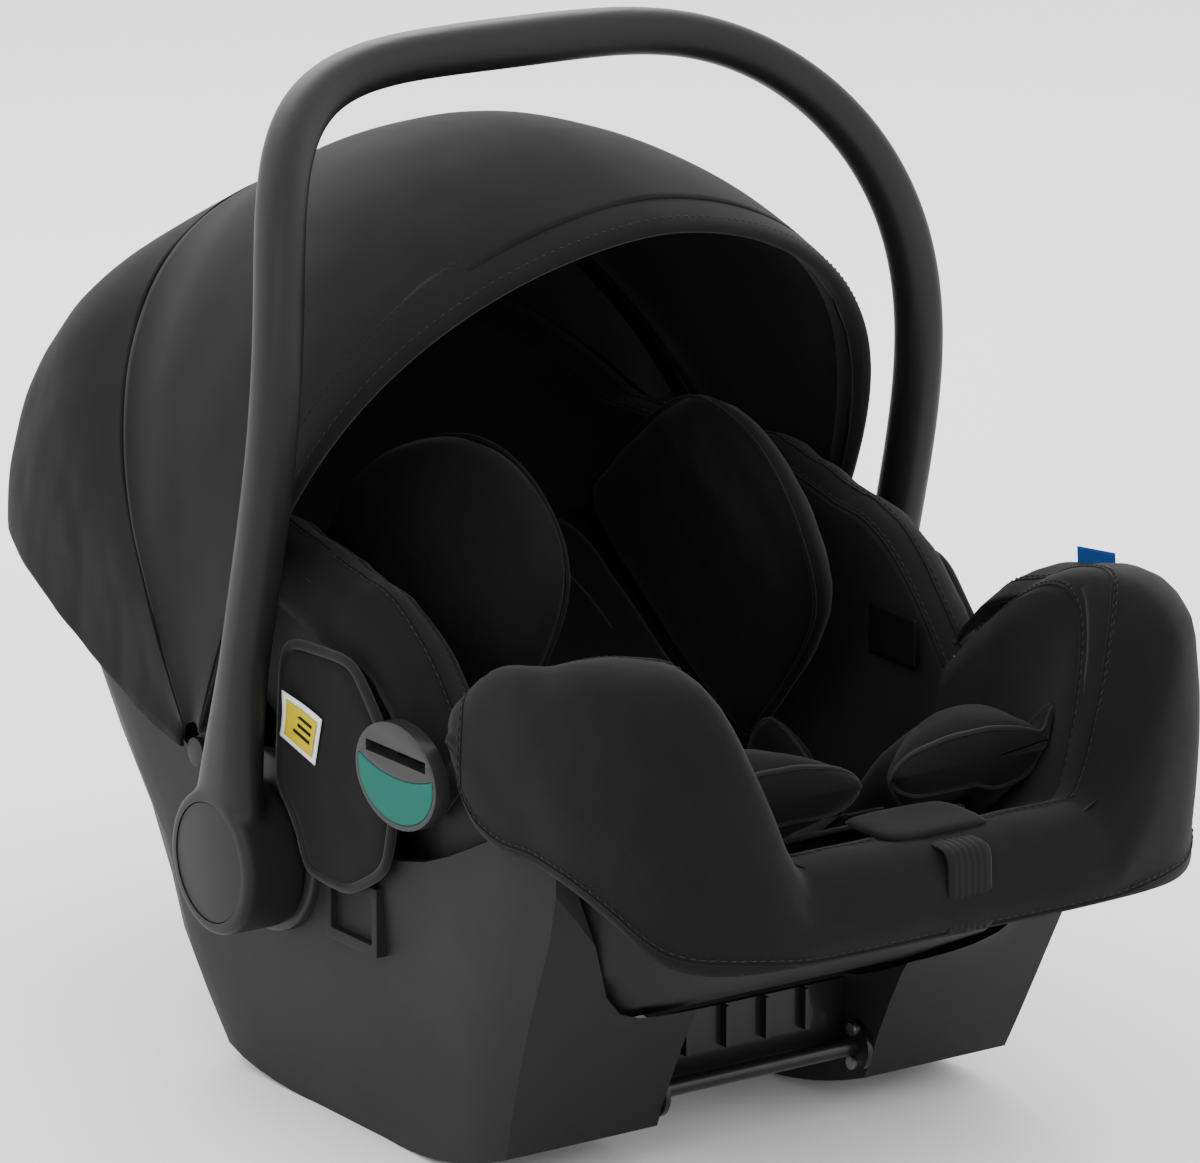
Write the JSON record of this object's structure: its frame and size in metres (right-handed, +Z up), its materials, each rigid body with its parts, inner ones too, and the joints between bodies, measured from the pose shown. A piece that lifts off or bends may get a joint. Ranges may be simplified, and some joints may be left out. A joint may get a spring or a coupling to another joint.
{
  "type": "infant car seat",
  "caption": "Rear-facing infant car seat shell on rocker skirts, with a swinging carry handle, a folding canopy, padded liner, sliding head support and harness.",
  "frame": {"origin": "on the floor, under the middle of the whole seat's length and width", "axes": "+Z up, +Y towards the head end, -Y towards the foot end, -X towards the side with the yellow tag"},
  "size_m": [0.4506, 0.6758, 0.5717],
  "materials": {
    "shell_plastic": "moulded with a fine texture",
    "handle_plastic": "satin",
    "dark_plastic": "fine texture",
    "teal_plastic": "satin",
    "red_plastic": "satin",
    "steel": "zinc plated",
    "foam": "expanded foam",
    "cover_fabric": "woven",
    "canopy_fabric": "plain weave",
    "inner_fabric": "soft jersey",
    "webbing": "ribbed webbing",
    "yellow_tag": "woven label",
    "blue_tag": "woven label"
  },
  "bodies": {
    "shell": {"seat_shell": "shell_plastic", "rocker_left": "shell_plastic", "rocker_right": "shell_plastic", "foam_liner": "foam", "seat_cover": "cover_fabric", "foot_cover": "cover_fabric", "front_latch_bar": "steel", "rear_latch_bar": "steel", "latch_screws": "steel", "rear_belt_guide": "teal_plastic", "harness_yoke": "steel", "hub_housing_left": "handle_plastic", "hub_housing_right": "handle_plastic", "hub_bolt_left": "steel", "hub_bolt_right": "steel", "adapter_socket_left": "shell_plastic", "adapter_socket_right": "shell_plastic", "side_flap_left": "cover_fabric", "side_flap_right": "cover_fabric", "belt_guide_left": "shell_plastic", "belt_guide_right": "shell_plastic", "belt_insert_left": "teal_plastic", "belt_insert_right": "teal_plastic", "canopy_rivet_left": "dark_plastic", "canopy_rivet_right": "dark_plastic", "canopy_rear_panel": "canopy_fabric", "body_insert": "inner_fabric", "hip_bolster_left": "inner_fabric", "hip_bolster_right": "inner_fabric", "shoulder_strap_left": "webbing", "shoulder_strap_right": "webbing", "shoulder_pad_left": "inner_fabric", "shoulder_pad_right": "inner_fabric", "buckle_tongues": "steel", "buckle_body": "dark_plastic", "crotch_strap": "webbing", "adjuster_flap": "cover_fabric", "adjuster_strap": "webbing", "side_tag": "yellow_tag", "foot_tag": "blue_tag", "side_patch": "inner_fabric"},
    "handle": {"handle_outer": "handle_plastic", "handle_inner": "handle_plastic", "handle_hub_left": "handle_plastic", "handle_hub_right": "handle_plastic", "lock_spring_left": "steel", "lock_spring_right": "steel"},
    "release_left": {"release_button_left": "handle_plastic", "lock_gear_left": "dark_plastic"},
    "release_right": {"release_button_right": "handle_plastic", "lock_gear_right": "dark_plastic"},
    "canopy_middle": {"canopy_middle_bow": "dark_plastic", "canopy_front_panel": "canopy_fabric"},
    "canopy_front": {"canopy_front_bow": "dark_plastic", "canopy_hem": "canopy_fabric"},
    "head_support": {"head_shell": "dark_plastic", "head_pad": "inner_fabric"},
    "head_grip": {"head_grip": "dark_plastic"},
    "buckle_button": {"buckle_button": "red_plastic"},
    "adjuster_button": {"adjuster_button": "dark_plastic"}
  },
  "joints": [
    {"name": "handle_swing", "type": "hinge", "parent": "shell", "child": "handle", "pos_m": [0, 0.03214, 0.146], "axis": [1, 0, 0], "range_deg": [-100, 0]},
    {"name": "release_left_press", "type": "slide", "parent": "handle", "child": "release_left", "axis": [1, 0, 0], "range_m": [0, 0.005], "stiffness_N_per_m": 800, "deforming": ["lock_spring_left"]},
    {"name": "release_right_press", "type": "slide", "parent": "handle", "child": "release_right", "axis": [-1, 0, 0], "range_m": [0, 0.005], "stiffness_N_per_m": 800, "deforming": ["lock_spring_right"]},
    {"name": "canopy_middle_fold", "type": "hinge", "parent": "shell", "child": "canopy_middle", "pos_m": [0, 0.08614, 0.19], "axis": [1, 0, 0], "range_deg": [-5, 0], "deforming": ["canopy_rear_panel"]},
    {"name": "canopy_front_fold", "type": "hinge", "parent": "canopy_middle", "child": "canopy_front", "pos_m": [0, 0.08614, 0.19], "axis": [1, 0, 0], "range_deg": [-52, 0], "deforming": ["canopy_front_panel"]},
    {"name": "head_slide", "type": "slide", "parent": "shell", "child": "head_support", "axis": [0, 0.848, 0.5299], "range_m": [0, 0.09]},
    {"name": "head_grip_pull", "type": "slide", "parent": "head_support", "child": "head_grip", "axis": [0, 0.848, 0.5299], "range_m": [0, 0.005], "stiffness_N_per_m": 600},
    {"name": "buckle_press", "type": "slide", "parent": "shell", "child": "buckle_button", "axis": [0, -0.5, -0.866], "range_m": [0, 0.003], "stiffness_N_per_m": 600},
    {"name": "adjuster_press", "type": "slide", "parent": "shell", "child": "adjuster_button", "axis": [0, 0, -1], "range_m": [0, 0.002], "stiffness_N_per_m": 600}
  ],
  "couplings": [
    {"joint": "canopy_middle_fold", "follows": "canopy_front_fold", "ratio": 0.0962}
  ]
}
